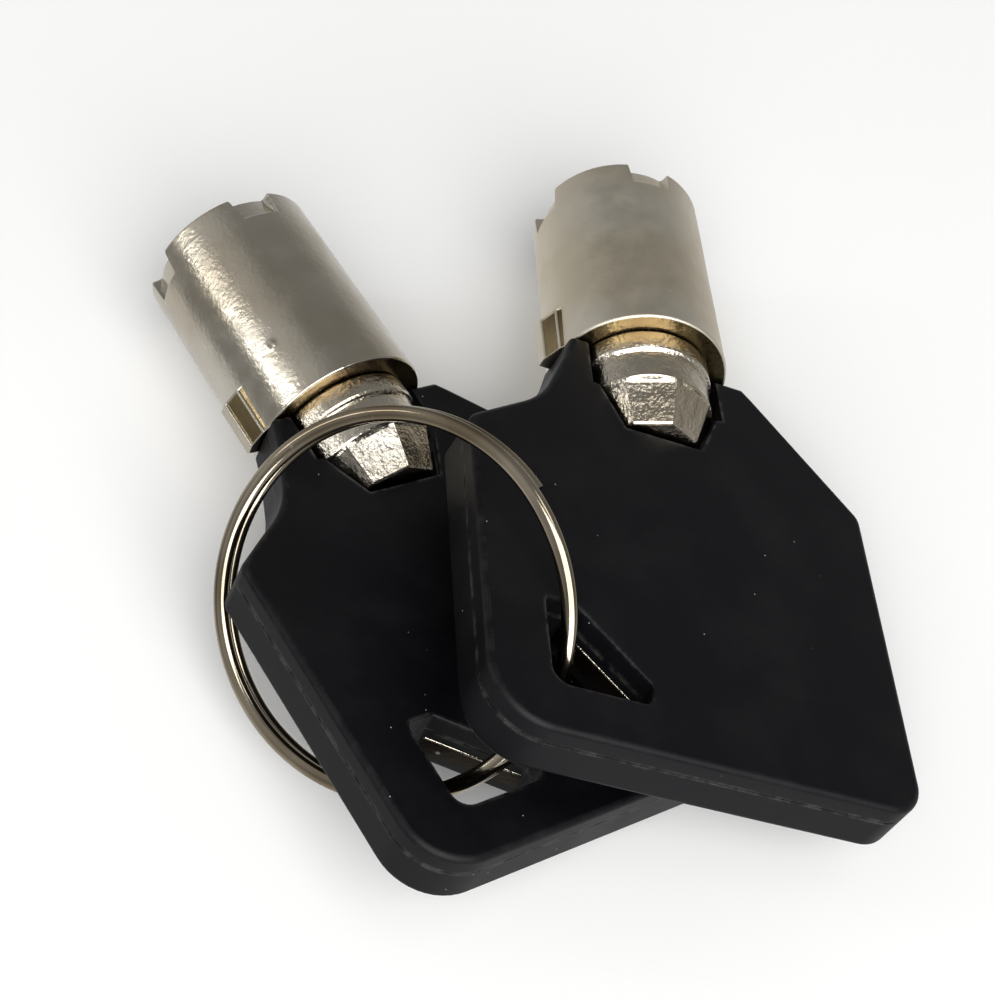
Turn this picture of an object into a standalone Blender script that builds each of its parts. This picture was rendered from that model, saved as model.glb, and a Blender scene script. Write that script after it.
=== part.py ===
"""Two tubular keys with plastic bows on a split ring, lying on a table.

Both keys are the same pressing: a hollow barrel with bitting cuts round its mouth, a cast insert that
carries the barrel and ends in a flat blade, and a bow of two plastic shells that hold the blade between
them. The split ring passes through the hole in the corner of each bow.

A key is modelled in its own frame, in millimetres: the origin is on the barrel's axis at its base rim,
+Y runs to the barrel's mouth, +X is to the right seen from the bow's front face, and +Z comes out of
that face. Each piece is then placed in the table's frame, in metres, with +Z up.
"""
import math

import bmesh
import bpy
from mathutils import Matrix, Vector

MM = 0.001
CLEARANCE = 0.3            # between pieces that touch on the real object

# Barrel
BARREL_LENGTH = 12.5
BARREL_BASE_RADIUS = 4.85
BARREL_MOUTH_RADIUS = 4.70
BORE_RADIUS = 3.80
BORE_DEPTH = 9.5
RIM_CHAMFER = 0.25
BARREL_SEGMENTS = 72
# Bitting cuts round the mouth: angle from +X in degrees, depth on the outer wall in millimetres
BITTING = ((0.0, 0.85), (94.0, 1.40), (180.0, 1.40), (225.0, 0.90), (270.0, 1.40))
CUT_HALF_WIDTH = 16.5      # degrees, flat floor and one ramp
CUT_FLOOR_HALF_WIDTH = 13.0
# Share of the depth left at the land's outer edge and at the bore: the floor slopes up inwards
CUT_LAND_DEPTH_RATIO = 0.75
CUT_INNER_DEPTH_RATIO = 0.06
# Guide lugs: side, lowest and highest y, and the section's corners as (distance from the axis, z)
LUG_SECTION = ((4.15, -1.10), (5.40, -1.10), (5.40, -0.45), (5.02, 0.55), (4.70, 1.00), (4.15, 1.00))
STOP_SECTION = ((4.10, -1.60), (5.05, -1.60), (5.05, -0.80), (4.10, -0.80))
LUGS = ((-1.0, 0.02, 3.00, LUG_SECTION), (1.0, 0.02, 2.40, LUG_SECTION), (1.0, 8.00, 9.50, STOP_SECTION))

# Cast insert: collar, shank, eight-sided tail and flat blade
COLLAR_RADIUS = 3.95
COLLAR_END = -1.30
SHANK_RADIUS = 3.62
SHANK_END = -3.20
TAIL_END = -5.50
TAIL_END_RADIUS = 2.60
TAIL_SIDES = 8
INSERT_SEGMENTS = 64
BLADE_TOP_Z = 0.0
BLADE_THICKNESS = 1.0
BLADE_NECK_HALF_WIDTH = 2.2
BLADE_HALF_WIDTH = 6.4

# Bow
BOW_THICKNESS = 3.4
SEAM_Z = 0.5               # parting line of the two shells
BOW_LEFT = -11.25
BOW_RIGHT = 11.85
BOW_END = -26.2
SEAT_RADIUS = 4.27         # round seat of the shank in the neck
SEAT_GAP = 0.35            # between the tail and its seat
BOW_EDGE_ROUND = 0.45
# Outline from the left ear round to the right ear: x, y and corner radius
BOW_OUTLINE = (
    (-4.85, 0.0, 0.25),
    (-5.35, -1.50, 3.0),
    (-7.00, -5.10, 5.0),
    (BOW_LEFT, -7.95, 0.8),
    (BOW_LEFT, BOW_END, 3.2),
    (BOW_RIGHT, BOW_END, 1.9),
    (BOW_RIGHT, -7.35, 1.2),
    (6.25, -0.65, 0.8),
    (5.65, 0.0, 0.3),
)
# Key-ring hole, a right triangle with cut corners: x, y and corner radius
HOLE_LEFT = -8.0
HOLE_BOTTOM = -23.5
HOLE_TOP = -18.6
HYPOTENUSE_TOP_X = -6.5
HYPOTENUSE_END = (-2.7, -22.35)
HOLE_OUTLINE = (
    (HOLE_LEFT, HOLE_TOP, 0.3),
    (HYPOTENUSE_TOP_X, HOLE_TOP, 0.3),
    (HYPOTENUSE_END[0], HYPOTENUSE_END[1], 0.3),
    (HYPOTENUSE_END[0] - 0.25, HOLE_BOTTOM, 0.4),
    (HOLE_LEFT, HOLE_BOTTOM, 0.9),
)
HOLE_RIM_CHAMFER = 0.35

# Split ring
RING_OUTER_RADIUS = 9.55
WIRE_WIDTH = 0.80          # radial
WIRE_HEIGHT = 0.60         # along the ring's axis
COIL_PITCH = 0.74
RING_STEPS_PER_TURN = 60
WIRE_SEGMENTS = 20
RING_END_GAP = 80.0        # degrees between the two ends, where the wire climbs to the other turn

# Places on the table: the box of the whole object is centred on the origin
SHIFT = Vector((-6.57, 10.465, 0.0))
LEFT_KEY_ROLL = 15.4       # degrees, until the bow's right edge touches the table
RIGHT_KEY_PLACE = Vector((15.18, -5.50, 6.40))
RIGHT_KEY_TURN = (-29.35, -8.05, 18.1)   # degrees about Z, then X, then Y
RING_CENTRE = Vector((-4.90, -12.93, 9.14))
RING_AXIS = Vector((-0.701, -0.183, 0.689))
RING_END_DIRECTION = Vector((7.2, -0.7, 6.9))   # from the centre towards the lower coil's end
# Where the ring's wire passes through the two holes
RING_PIVOT = Vector((-5.413, -21.616, 6.311))
RIGHT_KEY_PIVOT = Vector((-0.621, -20.686, 11.434))

SHARP_ANGLE = 32.0         # degrees, edges sharper than this are not smoothed


def clear_scene() -> None:
    """Remove every object of the scene that the script runs in."""
    for obj in list(bpy.data.objects):
        bpy.data.objects.remove(obj, do_unlink=True)


def material(name: str, colour: tuple, metallic: float, roughness: float) -> bpy.types.Material:
    """Return a Principled material of one linear colour."""
    made = bpy.data.materials.new(name)
    made.use_nodes = True
    shader = made.node_tree.nodes["Principled BSDF"]
    shader.inputs["Base Color"].default_value = (*colour, 1.0)
    shader.inputs["Metallic"].default_value = metallic
    shader.inputs["Roughness"].default_value = roughness
    made.diffuse_color = (*colour, 1.0)
    return made


def place_left() -> Matrix:
    """Left key: its barrel lies along +Y and it leans on the right edge of its bow."""
    height = Vector((0.0, 0.0, BARREL_BASE_RADIUS))
    turn = Matrix.Rotation(math.radians(LEFT_KEY_ROLL), 4, "Y")
    return Matrix.Translation(SHIFT + height) @ turn


def place_right() -> Matrix:
    """Right key: its barrel's mouth touches the table and its bow lies over the left key."""
    yaw, pitch, roll = (math.radians(angle) for angle in RIGHT_KEY_TURN)
    turn = (Matrix.Rotation(yaw, 4, "Z") @ Matrix.Rotation(pitch, 4, "X")
            @ Matrix.Rotation(roll, 4, "Y"))
    return Matrix.Translation(SHIFT + RIGHT_KEY_PLACE) @ turn


def place_ring() -> Matrix:
    """Split ring: local Z is its axis, and the coil's end is on local +X."""
    axis = RING_AXIS.normalized()
    across = (RING_END_DIRECTION - axis * RING_END_DIRECTION.dot(axis)).normalized()
    side = axis.cross(across)
    turn = Matrix((across, side, axis)).transposed().to_4x4()
    return Matrix.Translation(SHIFT + RING_CENTRE) @ turn


def new_object(name: str, mesh_builder: bmesh.types.BMesh, made: bpy.types.Material) -> bpy.types.Object:
    """Turn a bmesh in millimetres into an object in metres with one material."""
    mesh = bpy.data.meshes.new(name)
    bmesh.ops.recalc_face_normals(mesh_builder, faces=mesh_builder.faces)
    mesh_builder.to_mesh(mesh)
    mesh_builder.free()
    mesh.transform(Matrix.Scale(MM, 4))
    mesh.materials.append(made)
    obj = bpy.data.objects.new(name, mesh)
    bpy.context.scene.collection.objects.link(obj)
    return obj


def rounded(corners: tuple, steps: int = 5) -> list:
    """Return an outline whose corners are replaced with tangent arcs.

    Each corner is (x, y, radius), and the arcs have the given number of steps.
    """
    points = []
    count = len(corners)
    for index, (x, y, radius) in enumerate(corners):
        here = Vector((x, y))
        before = Vector(corners[index - 1][:2])
        after = Vector(corners[(index + 1) % count][:2])
        back = (before - here).normalized()
        ahead = (after - here).normalized()
        half = back.angle(ahead) / 2.0
        reach = radius / math.tan(half)
        centre = here + (back + ahead).normalized() * (radius / math.sin(half))
        start = here + back * reach - centre
        end = here + ahead * reach - centre
        sweep = math.atan2(start.x * end.y - start.y * end.x, start.dot(end))
        for step in range(steps + 1):
            angle = sweep * step / steps
            turned = Vector((start.x * math.cos(angle) - start.y * math.sin(angle),
                             start.x * math.sin(angle) + start.y * math.cos(angle)))
            points.append(centre + turned)
    return points


def prism(outline: list, low: float, high: float, edge_round: tuple = ()) -> bmesh.types.BMesh:
    """Extrude an outline from z = low to z = high.

    edge_round names the faces, "low" or "high", whose outer edges get a rounding of BOW_EDGE_ROUND.
    """
    builder = bmesh.new()
    verts = [builder.verts.new((point[0], point[1], low)) for point in outline]
    face = builder.faces.new(verts)
    extruded = bmesh.ops.extrude_face_region(builder, geom=[face])
    lifted = [item for item in extruded["geom"] if isinstance(item, bmesh.types.BMVert)]
    bmesh.ops.translate(builder, verts=lifted, vec=(0.0, 0.0, high - low))
    levels = {"low": low, "high": high}
    edges = []
    for side in edge_round:
        level = levels[side]
        edges += [edge for edge in builder.edges
                  if all(abs(vert.co.z - level) < 1e-6 for vert in edge.verts)]
    if edges:
        bmesh.ops.bevel(builder, geom=edges, offset=BOW_EDGE_ROUND, segments=2, profile=0.5,
                        affect="EDGES", clamp_overlap=True)
    return builder


def loft(rings: list) -> bmesh.types.BMesh:
    """Join rings of points with walls and close both ends with caps."""
    builder = bmesh.new()
    loops = [[builder.verts.new(point) for point in ring] for ring in rings]
    count = len(loops[0])
    for lower, upper in zip(loops, loops[1:]):
        for index in range(count):
            nxt = (index + 1) % count
            builder.faces.new((lower[index], lower[nxt], upper[nxt], upper[index]))
    builder.faces.new(loops[0])
    builder.faces.new(loops[-1])
    return builder


def widened(corners: tuple, distance: float) -> tuple:
    """Return an outline's corners moved outwards by a distance, with their radii grown by it.

    The outline runs clockwise, so its outer side is on the left of each edge.
    """
    grown = []
    count = len(corners)
    for index, (x, y, radius) in enumerate(corners):
        here = Vector((x, y))
        along_in = (here - Vector(corners[index - 1][:2])).normalized()
        along_out = (Vector(corners[(index + 1) % count][:2]) - here).normalized()
        out_in = Vector((-along_in.y, along_in.x))
        out_out = Vector((-along_out.y, along_out.x))
        bisector = out_in + out_out
        moved = here + bisector * (2.0 * distance / bisector.length_squared)
        grown.append((moved.x, moved.y, radius + distance))
    return tuple(grown)


def hole_cutter() -> bmesh.types.BMesh:
    """Prism of the key-ring hole that flares at both faces of the bow."""
    half = BOW_THICKNESS / 2.0
    reach = 0.5
    levels = (
        (-half - reach, HOLE_RIM_CHAMFER + reach), (-half + HOLE_RIM_CHAMFER, 0.0),
        (half - HOLE_RIM_CHAMFER, 0.0), (half + reach, HOLE_RIM_CHAMFER + reach),
    )
    rings = []
    for z, grow in levels:
        outline = rounded(widened(HOLE_OUTLINE, grow), 3)
        rings.append([(point.x, point.y, z) for point in outline])
    return loft(rings)


def circle_ring(radius: float, y: float, segments: int) -> list:
    """Points of a circle round the barrel's axis."""
    return [(radius * math.cos(2 * math.pi * index / segments), y,
             radius * math.sin(2 * math.pi * index / segments)) for index in range(segments)]


def polygon_ring(radius: float, y: float, segments: int) -> list:
    """Points of the tail's polygon, whose corners lie on the given radius."""
    sector = 2 * math.pi / TAIL_SIDES
    points = []
    for index in range(segments):
        angle = 2 * math.pi * index / segments
        off_centre = angle % sector - sector / 2.0
        reach = radius * math.cos(sector / 2.0) / math.cos(off_centre)
        points.append((reach * math.cos(angle), y, reach * math.sin(angle)))
    return points


def cut_depth(angle: float) -> float:
    """Depth of the bitting at an angle in degrees, from the mouth plane."""
    deepest = 0.0
    for centre, depth in BITTING:
        off = abs((angle - centre + 180.0) % 360.0 - 180.0)
        if off >= CUT_HALF_WIDTH:
            continue
        ramp = (CUT_HALF_WIDTH - off) / (CUT_HALF_WIDTH - CUT_FLOOR_HALF_WIDTH)
        share = min(1.0, ramp)
        deepest = max(deepest, depth * share * share * (3.0 - 2.0 * share))
    return deepest


def build_barrel(name: str, made: bpy.types.Material) -> bpy.types.Object:
    """Hollow barrel with its bitting cuts and guide lugs."""
    builder = bmesh.new()
    base_centre = builder.verts.new((0.0, 0.0, 0.0))
    floor_centre = builder.verts.new((0.0, BARREL_LENGTH - BORE_DEPTH, 0.0))
    columns = []
    for index in range(BARREL_SEGMENTS):
        degrees = 360.0 * index / BARREL_SEGMENTS
        angle = math.radians(degrees)
        depth = cut_depth(degrees)
        profile = (
            (BARREL_BASE_RADIUS - RIM_CHAMFER, 0.0),
            (BARREL_BASE_RADIUS, RIM_CHAMFER),
            (BARREL_MOUTH_RADIUS, BARREL_LENGTH - RIM_CHAMFER - depth),
            (BARREL_MOUTH_RADIUS - RIM_CHAMFER, BARREL_LENGTH - depth * CUT_LAND_DEPTH_RATIO),
            (BORE_RADIUS, BARREL_LENGTH - depth * CUT_INNER_DEPTH_RATIO),
            (BORE_RADIUS, BARREL_LENGTH - BORE_DEPTH),
        )
        columns.append([builder.verts.new((r * math.cos(angle), y, r * math.sin(angle)))
                        for r, y in profile])
    for index, column in enumerate(columns):
        nxt = columns[(index + 1) % BARREL_SEGMENTS]
        for row in range(len(column) - 1):
            builder.faces.new((column[row], column[row + 1], nxt[row + 1], nxt[row]))
        builder.faces.new((base_centre, column[0], nxt[0]))
        builder.faces.new((floor_centre, nxt[-1], column[-1]))
    barrel = new_object(name, builder, made)
    for number, (side, low, high, section) in enumerate(LUGS):
        rings = [[(side * reach, y, z) for reach, z in section] for y in (low, high)]
        lug = new_object(f"{name}_lug_{number}", loft(rings), made)
        apply_boolean(barrel, lug, "UNION")
    return barrel


def apply_boolean(target: bpy.types.Object, tool: bpy.types.Object, operation: str) -> None:
    """Add an exact Boolean of the tool to the target and hide the tool."""
    change = target.modifiers.new(operation.lower(), "BOOLEAN")
    change.operation = operation
    change.solver = "EXACT"
    change.object = tool
    tool.hide_render = True
    tool.display_type = "WIRE"
    tool.parent = target
    tool.matrix_parent_inverse = Matrix.Identity(4)


def blade_outline(grow: float) -> list:
    """Outline of the flat blade, grown outwards by a clearance.

    Its lower left corner is cut along the hole's hypotenuse, where the blade's edge shows.
    """
    slope = (HYPOTENUSE_END[1] - HOLE_TOP) / (HYPOTENUSE_END[0] - HYPOTENUSE_TOP_X)
    left = -BLADE_HALF_WIDTH - grow
    low = HOLE_BOTTOM - 0.5 - grow
    reach = 1.2 * grow
    left_y = HOLE_TOP + slope * (left - HYPOTENUSE_TOP_X) - reach
    low_x = HYPOTENUSE_END[0] + (low - HYPOTENUSE_END[1]) / slope - reach
    neck = BLADE_NECK_HALF_WIDTH + grow
    return [
        (neck, TAIL_END + 0.6), (-neck, TAIL_END + 0.6), (-neck, -8.0 + grow),
        (left, -11.0 + grow), (left, left_y), (low_x, low), (-left, low),
        (-left, -11.0 + grow), (neck, -8.0 + grow),
    ]


def tail_rings(seat: bool) -> list:
    """Rings of the collar, shank and tail, or of the seat that they leave in the bow."""
    if seat:
        tail_radius = SHANK_RADIUS + SEAT_GAP
        return [
            circle_ring(SEAT_RADIUS, 1.0, INSERT_SEGMENTS),
            circle_ring(SEAT_RADIUS, SHANK_END + 0.1, INSERT_SEGMENTS),
            polygon_ring(tail_radius + 0.2, SHANK_END, INSERT_SEGMENTS),
            polygon_ring(TAIL_END_RADIUS + SEAT_GAP, TAIL_END - CLEARANCE, INSERT_SEGMENTS),
        ]
    return [
        circle_ring(COLLAR_RADIUS - 0.1, -CLEARANCE, INSERT_SEGMENTS),
        circle_ring(COLLAR_RADIUS, -CLEARANCE - 0.15, INSERT_SEGMENTS),
        circle_ring(COLLAR_RADIUS, COLLAR_END + 0.15, INSERT_SEGMENTS),
        circle_ring(SHANK_RADIUS, COLLAR_END - 0.05, INSERT_SEGMENTS),
        circle_ring(SHANK_RADIUS, SHANK_END, INSERT_SEGMENTS),
        polygon_ring(SHANK_RADIUS - 0.04, SHANK_END - 0.12, INSERT_SEGMENTS),
        polygon_ring(TAIL_END_RADIUS, TAIL_END, INSERT_SEGMENTS),
    ]


def build_insert(name: str, made: bpy.types.Material) -> bpy.types.Object:
    """Cast insert: collar, round shank, eight-sided tail and the blade inside the bow."""
    insert = new_object(name, loft(tail_rings(seat=False)), made)
    blade = new_object(f"{name}_blade", prism(blade_outline(0.0), BLADE_TOP_Z - BLADE_THICKNESS, BLADE_TOP_Z),
                       made)
    apply_boolean(insert, blade, "UNION")
    return insert


def build_shell(name: str, made: bpy.types.Material, front: bool) -> bpy.types.Object:
    """One shell of the bow, with the shank's seat, the ring's hole and the blade's recess."""
    half = BOW_THICKNESS / 2.0
    outline = rounded(BOW_OUTLINE)
    if front:
        body = prism(outline, SEAM_Z + CLEARANCE / 2.0, half, edge_round=("high",))
    else:
        body = prism(outline, -half, SEAM_Z - CLEARANCE / 2.0, edge_round=("low",))
    shell = new_object(name, body, made)
    seat = new_object(f"{name}_seat", loft(tail_rings(seat=True)), made)
    apply_boolean(shell, seat, "DIFFERENCE")
    if not front:
        floor = BLADE_TOP_Z - BLADE_THICKNESS - CLEARANCE
        recess = new_object(f"{name}_recess", prism(blade_outline(CLEARANCE), floor, half), made)
        apply_boolean(shell, recess, "DIFFERENCE")
    hole = new_object(f"{name}_hole", hole_cutter(), made)
    apply_boolean(shell, hole, "DIFFERENCE")
    return shell


def build_ring(name: str, made: bpy.types.Material) -> bpy.types.Object:
    """Split ring: one oval wire wound twice, climbing to the other layer between its ends."""
    radius = RING_OUTER_RADIUS - WIRE_WIDTH / 2.0
    half_width = WIRE_WIDTH / 2.0
    half_height = WIRE_HEIGHT / 2.0
    section = []
    for index in range(WIRE_SEGMENTS):
        angle = 2.0 * math.pi * index / WIRE_SEGMENTS
        section.append((half_width * math.cos(angle), half_height * math.sin(angle)))
    total = 720.0 - RING_END_GAP
    steps = 2 * RING_STEPS_PER_TURN
    rings = []
    for step in range(steps + 1):
        degrees = total * step / steps
        climb = min(1.0, max(0.0, (degrees - (360.0 - RING_END_GAP)) / RING_END_GAP))
        layer = COIL_PITCH * (climb * climb * (3.0 - 2.0 * climb) - 0.5)
        angle = math.radians(degrees)
        rings.append([((radius + out) * math.cos(angle), (radius + out) * math.sin(angle), layer + up)
                      for out, up in section])
    return new_object(name, loft(rings), made)


def settle(piece: bpy.types.Object, place: Matrix, pivot: Vector) -> None:
    """Put a piece and its cutters in place in the table's frame, with its origin on its joint's pivot."""
    metres = place.copy()
    metres.translation *= MM
    origin = (SHIFT + pivot) * MM
    for moved in (piece, *piece.children_recursive):
        moved.data.transform(Matrix.Translation(-origin) @ metres)
    piece.location = origin
    piece.data.shade_smooth()
    piece.data.set_sharp_from_angle(angle=math.radians(SHARP_ANGLE))


def build_key(side: str, place: Matrix, pivot: Vector, metals: tuple, plastic: bpy.types.Material) -> None:
    """Build one key and place its pieces in the table's frame."""
    barrel_metal, insert_metal = metals
    pieces = (
        build_barrel(f"{side}_barrel", barrel_metal),
        build_insert(f"{side}_shank_insert", insert_metal),
        build_shell(f"{side}_bow_front_shell", plastic, front=True),
        build_shell(f"{side}_bow_back_shell", plastic, front=False),
    )
    for piece in pieces:
        settle(piece, place, pivot)


def main() -> None:
    """Build both keys and the split ring."""
    clear_scene()
    barrel_metal = material("nickel_plated_barrel", (0.46, 0.43, 0.36), 1.0, 0.34)
    insert_metal = material("nickel_plated_casting", (0.50, 0.46, 0.38), 1.0, 0.38)
    ring_metal = material("nickel_plated_wire", (0.62, 0.58, 0.50), 1.0, 0.18)
    plastic = material("black_moulded_plastic", (0.018, 0.018, 0.020), 0.0, 0.45)
    metals = (barrel_metal, insert_metal)
    build_key("left", place_left(), Vector((0.0, 0.0, BARREL_BASE_RADIUS)), metals, plastic)
    build_key("right", place_right(), RIGHT_KEY_PIVOT, metals, plastic)
    settle(build_ring("split_ring", ring_metal), place_ring(), RING_PIVOT)


main()
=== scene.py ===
"""Two tubular keys with black plastic bows on a nickel-plated split ring, lying on a pale table.

Every piece is modelled in its own key's frame in millimetres and then put in its place in the mesh: the
origin is on the barrel's axis at its base rim, +Y runs to the barrel's mouth, +X is to the right seen from
the bow's front face, and +Z comes out of that face.
"""

import logging
import math
from dataclasses import dataclass, field
from enum import Enum

import bmesh
import bpy
from mathutils import Matrix, Vector, noise

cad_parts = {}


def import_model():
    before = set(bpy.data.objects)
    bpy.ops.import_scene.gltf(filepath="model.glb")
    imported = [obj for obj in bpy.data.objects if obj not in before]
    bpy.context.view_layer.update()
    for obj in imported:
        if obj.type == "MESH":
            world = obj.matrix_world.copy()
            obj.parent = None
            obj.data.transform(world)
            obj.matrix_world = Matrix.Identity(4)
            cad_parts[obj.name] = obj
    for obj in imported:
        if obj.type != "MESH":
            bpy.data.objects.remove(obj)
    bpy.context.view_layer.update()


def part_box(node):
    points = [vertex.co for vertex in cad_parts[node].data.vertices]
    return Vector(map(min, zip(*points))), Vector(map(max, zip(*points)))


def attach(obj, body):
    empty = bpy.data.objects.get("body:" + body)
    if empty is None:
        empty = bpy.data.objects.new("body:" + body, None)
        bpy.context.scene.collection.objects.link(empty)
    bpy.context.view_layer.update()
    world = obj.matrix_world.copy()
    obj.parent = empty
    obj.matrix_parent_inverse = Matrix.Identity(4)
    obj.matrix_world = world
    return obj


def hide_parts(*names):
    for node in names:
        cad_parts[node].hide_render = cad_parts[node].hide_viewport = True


LOG = logging.getLogger("tubular_keys")
MM = 0.001
PER_METRE = 1000.0
# Moves the set so that the middle of its box stands over the table's origin, in millimetres.
SHIFT = Vector((-6.57, 10.465, 0.0))


# --- Small helpers ---


def linear(hex_colour: str) -> tuple[float, float, float, float]:
    """Turn an sRGB hex colour into a linear RGBA value.

    Args:
        hex_colour: Six hex digits, without a hash.

    Returns:
        Linear red, green, blue and an alpha of one.
    """
    values = []
    for start in (0, 2, 4):
        share = int(hex_colour[start:start + 2], 16) / 255.0
        values.append(share / 12.92 if share <= 0.04045 else ((share + 0.055) / 1.055) ** 2.4)
    return (values[0], values[1], values[2], 1.0)


def smooth_step(value: float) -> float:
    """Clamp a value to 0..1 and ease it in and out.

    Args:
        value: The value to ease.

    Returns:
        The eased value.
    """
    share = min(1.0, max(0.0, value))
    return share * share * (3.0 - 2.0 * share)


def add_node(tree: bpy.types.NodeTree, kind: str, values: dict | None = None, links: dict | None = None,
             **settings: object) -> bpy.types.Node:
    """Add a node with its settings, input values and links.

    Args:
        tree: The node tree to add to.
        kind: The node's type name.
        values: Input name or index to a value.
        links: Input name or index to the output socket that feeds it.
        settings: Node properties to set.

    Returns:
        The new node.
    """
    node = tree.nodes.new(kind)
    for name, value in settings.items():
        setattr(node, name, value)
    for name, value in (values or {}).items():
        node.inputs[name].default_value = value
    for name, output in (links or {}).items():
        tree.links.new(output, node.inputs[name])
    return node


def quarter_arc(steps: int, first: int = 0) -> list[tuple[float, float]]:
    """Sine and cosine of evenly spaced angles up to 90 degrees.

    Args:
        steps: Steps of the whole quarter.
        first: The step that the arc starts from.

    Returns:
        The sine and cosine at each step.
    """
    angles = [math.radians(90.0 * step / steps) for step in range(first, steps + 1)]
    return [(math.sin(angle), math.cos(angle)) for angle in angles]


def add_object(name: str, data: bpy.types.ID) -> bpy.types.Object:
    """Make an object of some data and put it in the scene.

    Args:
        name: The object's name.
        data: Its mesh, light or camera.

    Returns:
        The new object.
    """
    made = bpy.data.objects.new(name, data)
    bpy.context.scene.collection.objects.link(made)
    return made


# --- Finishes ---


def blank_material(name: str) -> bpy.types.Material:
    """Make a material whose node tree is empty.

    Args:
        name: The material's name.

    Returns:
        The material.
    """
    made = bpy.data.materials.new(name)
    made.use_nodes = True
    made.node_tree.nodes.clear()
    return made


def scattered_marks(tree: bpy.types.NodeTree, place: bpy.types.NodeSocket, spacing_mm: float,
                    rim: tuple[float, float], kept: tuple[float, float], channel: str,
                    fading: str = "LINEAR") -> bpy.types.NodeSocket:
    """Scatter round marks over a surface, one in some of the cells of an uneven lattice.

    Args:
        tree: The node tree to add to.
        place: The surface's place in metres.
        spacing_mm: Spacing of the cells.
        rim: Distances, in cells, over which a mark fades out.
        kept: Random values over which a cell comes to show its mark.
        channel: Colour channel that the random value is read from.
        fading: Interpolation from a mark's middle to its rim.

    Returns:
        The marks' strength, from 0 to 1.
    """
    cells = add_node(tree, "ShaderNodeTexVoronoi", {"Scale": PER_METRE / spacing_mm, "Randomness": 1.0},
                     {"Vector": place})
    shape = add_node(tree, "ShaderNodeMapRange", {"From Min": rim[0], "From Max": rim[1], "To Min": 1.0,
                                                  "To Max": 0.0},
                     {"Value": cells.outputs["Distance"]}, interpolation_type=fading)
    chance = add_node(tree, "ShaderNodeSeparateColor", links={"Color": cells.outputs["Color"]})
    shown = add_node(tree, "ShaderNodeMapRange", {"From Min": kept[0], "From Max": kept[1]},
                     {"Value": chance.outputs[channel]})
    marks = add_node(tree, "ShaderNodeMath", links={0: shape.outputs["Result"], 1: shown.outputs["Result"]},
                     operation="MULTIPLY")
    return marks.outputs["Value"]


@dataclass(frozen=True)
class NickelPlate:
    """Bright nickel plated over zinc or steel: a warm grey mirror, dulled by the surface underneath.

    The plate follows every pit and ripple of the metal under it, so it shows soft uneven streaks, small
    pits that catch light at one edge, and slightly browner patches where the plate is thin. Its corners and
    crevices are darkened to a dark brown wherever an occlusion test finds them enclosed: painted shade,
    which also stands for handling grime there.
    """

    name: str
    light_hex: str = "DFD8C9"
    dark_hex: str = "CFC4B0"
    patch_mm: float = 6.0
    roughness_low: float = 0.15
    roughness_high: float = 0.30
    ripple_mm: float = 1.3
    ripple_height_mm: float = 0.012
    grain_mm: float = 0.26
    grain_height_mm: float = 0.016
    pit_mm: float = 1.1
    pit_height_mm: float = 0.012
    pits_kept: tuple[float, float] = (0.62, 0.72)
    blemish_hex: str = "E9E6DE"
    # Dark brown painted shade in corners and crevices, also standing for grime: its colour, the occlusion
    # reach and its strongest share.
    grime_and_shade_hex: str = "2A2119"
    grime_and_shade_mm: float = 0.90
    grime_and_shade_share: float = 0.85

    def make(self) -> bpy.types.Material:
        """Build the material.

        Returns:
            The finished node material.
        """
        made = blank_material(self.name)
        tree = made.node_tree
        place = add_node(tree, "ShaderNodeTexCoord").outputs["Object"]
        ripple, grain, patch = (
            add_node(tree, "ShaderNodeTexNoise", {"Scale": PER_METRE / size_mm, "Detail": detail,
                                                  "Roughness": roughness}, {"Vector": place}).outputs["Fac"]
            for size_mm, detail, roughness in ((self.ripple_mm, 3.0, 0.55), (self.grain_mm, 2.0, 0.55),
                                               (self.patch_mm, 2.0, 0.5)))
        pit = scattered_marks(tree, place, self.pit_mm, (0.0, 0.16), self.pits_kept, "Red", "SMOOTHSTEP")
        colour = add_node(tree, "ShaderNodeValToRGB", links={"Fac": patch})
        for stop, position, shade in zip(colour.color_ramp.elements, (0.34, 0.62),
                                         (self.dark_hex, self.light_hex)):
            stop.position = position
            stop.color = linear(shade)
        marked = add_node(tree, "ShaderNodeMix", {7: linear(self.blemish_hex)},
                          {0: pit, 6: colour.outputs["Color"]}, data_type="RGBA")
        # Painted shade: darkens the colour where the occlusion node finds the surface enclosed, in corners
        # and crevices, tinted brown like grime.
        open_sky = add_node(tree, "ShaderNodeAmbientOcclusion", {"Distance": self.grime_and_shade_mm * MM}, samples=6)
        grime_and_shade_mask = add_node(tree, "ShaderNodeMapRange", {"From Min": 0.30, "From Max": 0.70,
                                                        "To Min": self.grime_and_shade_share, "To Max": 0.0},
                           {"Value": open_sky.outputs["AO"]}, interpolation_type="SMOOTHSTEP")
        grimed_and_shaded = add_node(tree, "ShaderNodeMix", {7: linear(self.grime_and_shade_hex)},
                         {0: grime_and_shade_mask.outputs["Result"], 6: marked.outputs[2]}, data_type="RGBA")
        rough = add_node(tree, "ShaderNodeMapRange", {"From Min": 0.3, "From Max": 0.7,
                                                      "To Min": self.roughness_low,
                                                      "To Max": self.roughness_high}, {"Value": ripple})
        below = {}
        for height_mm, height in ((self.ripple_height_mm, ripple), (self.grain_height_mm, grain),
                                  (self.pit_height_mm, pit)):
            bump = add_node(tree, "ShaderNodeBump", {"Strength": 1.0, "Distance": height_mm * MM},
                            {"Height": height, **below})
            below = {"Normal": bump.outputs["Normal"]}
        shader = add_node(tree, "ShaderNodeBsdfPrincipled", {"Metallic": 1.0},
                          {"Base Color": grimed_and_shaded.outputs[2], "Roughness": rough.outputs["Result"], **below})
        add_node(tree, "ShaderNodeOutputMaterial", links={"Surface": shader.outputs["BSDF"]})
        return made


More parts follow.
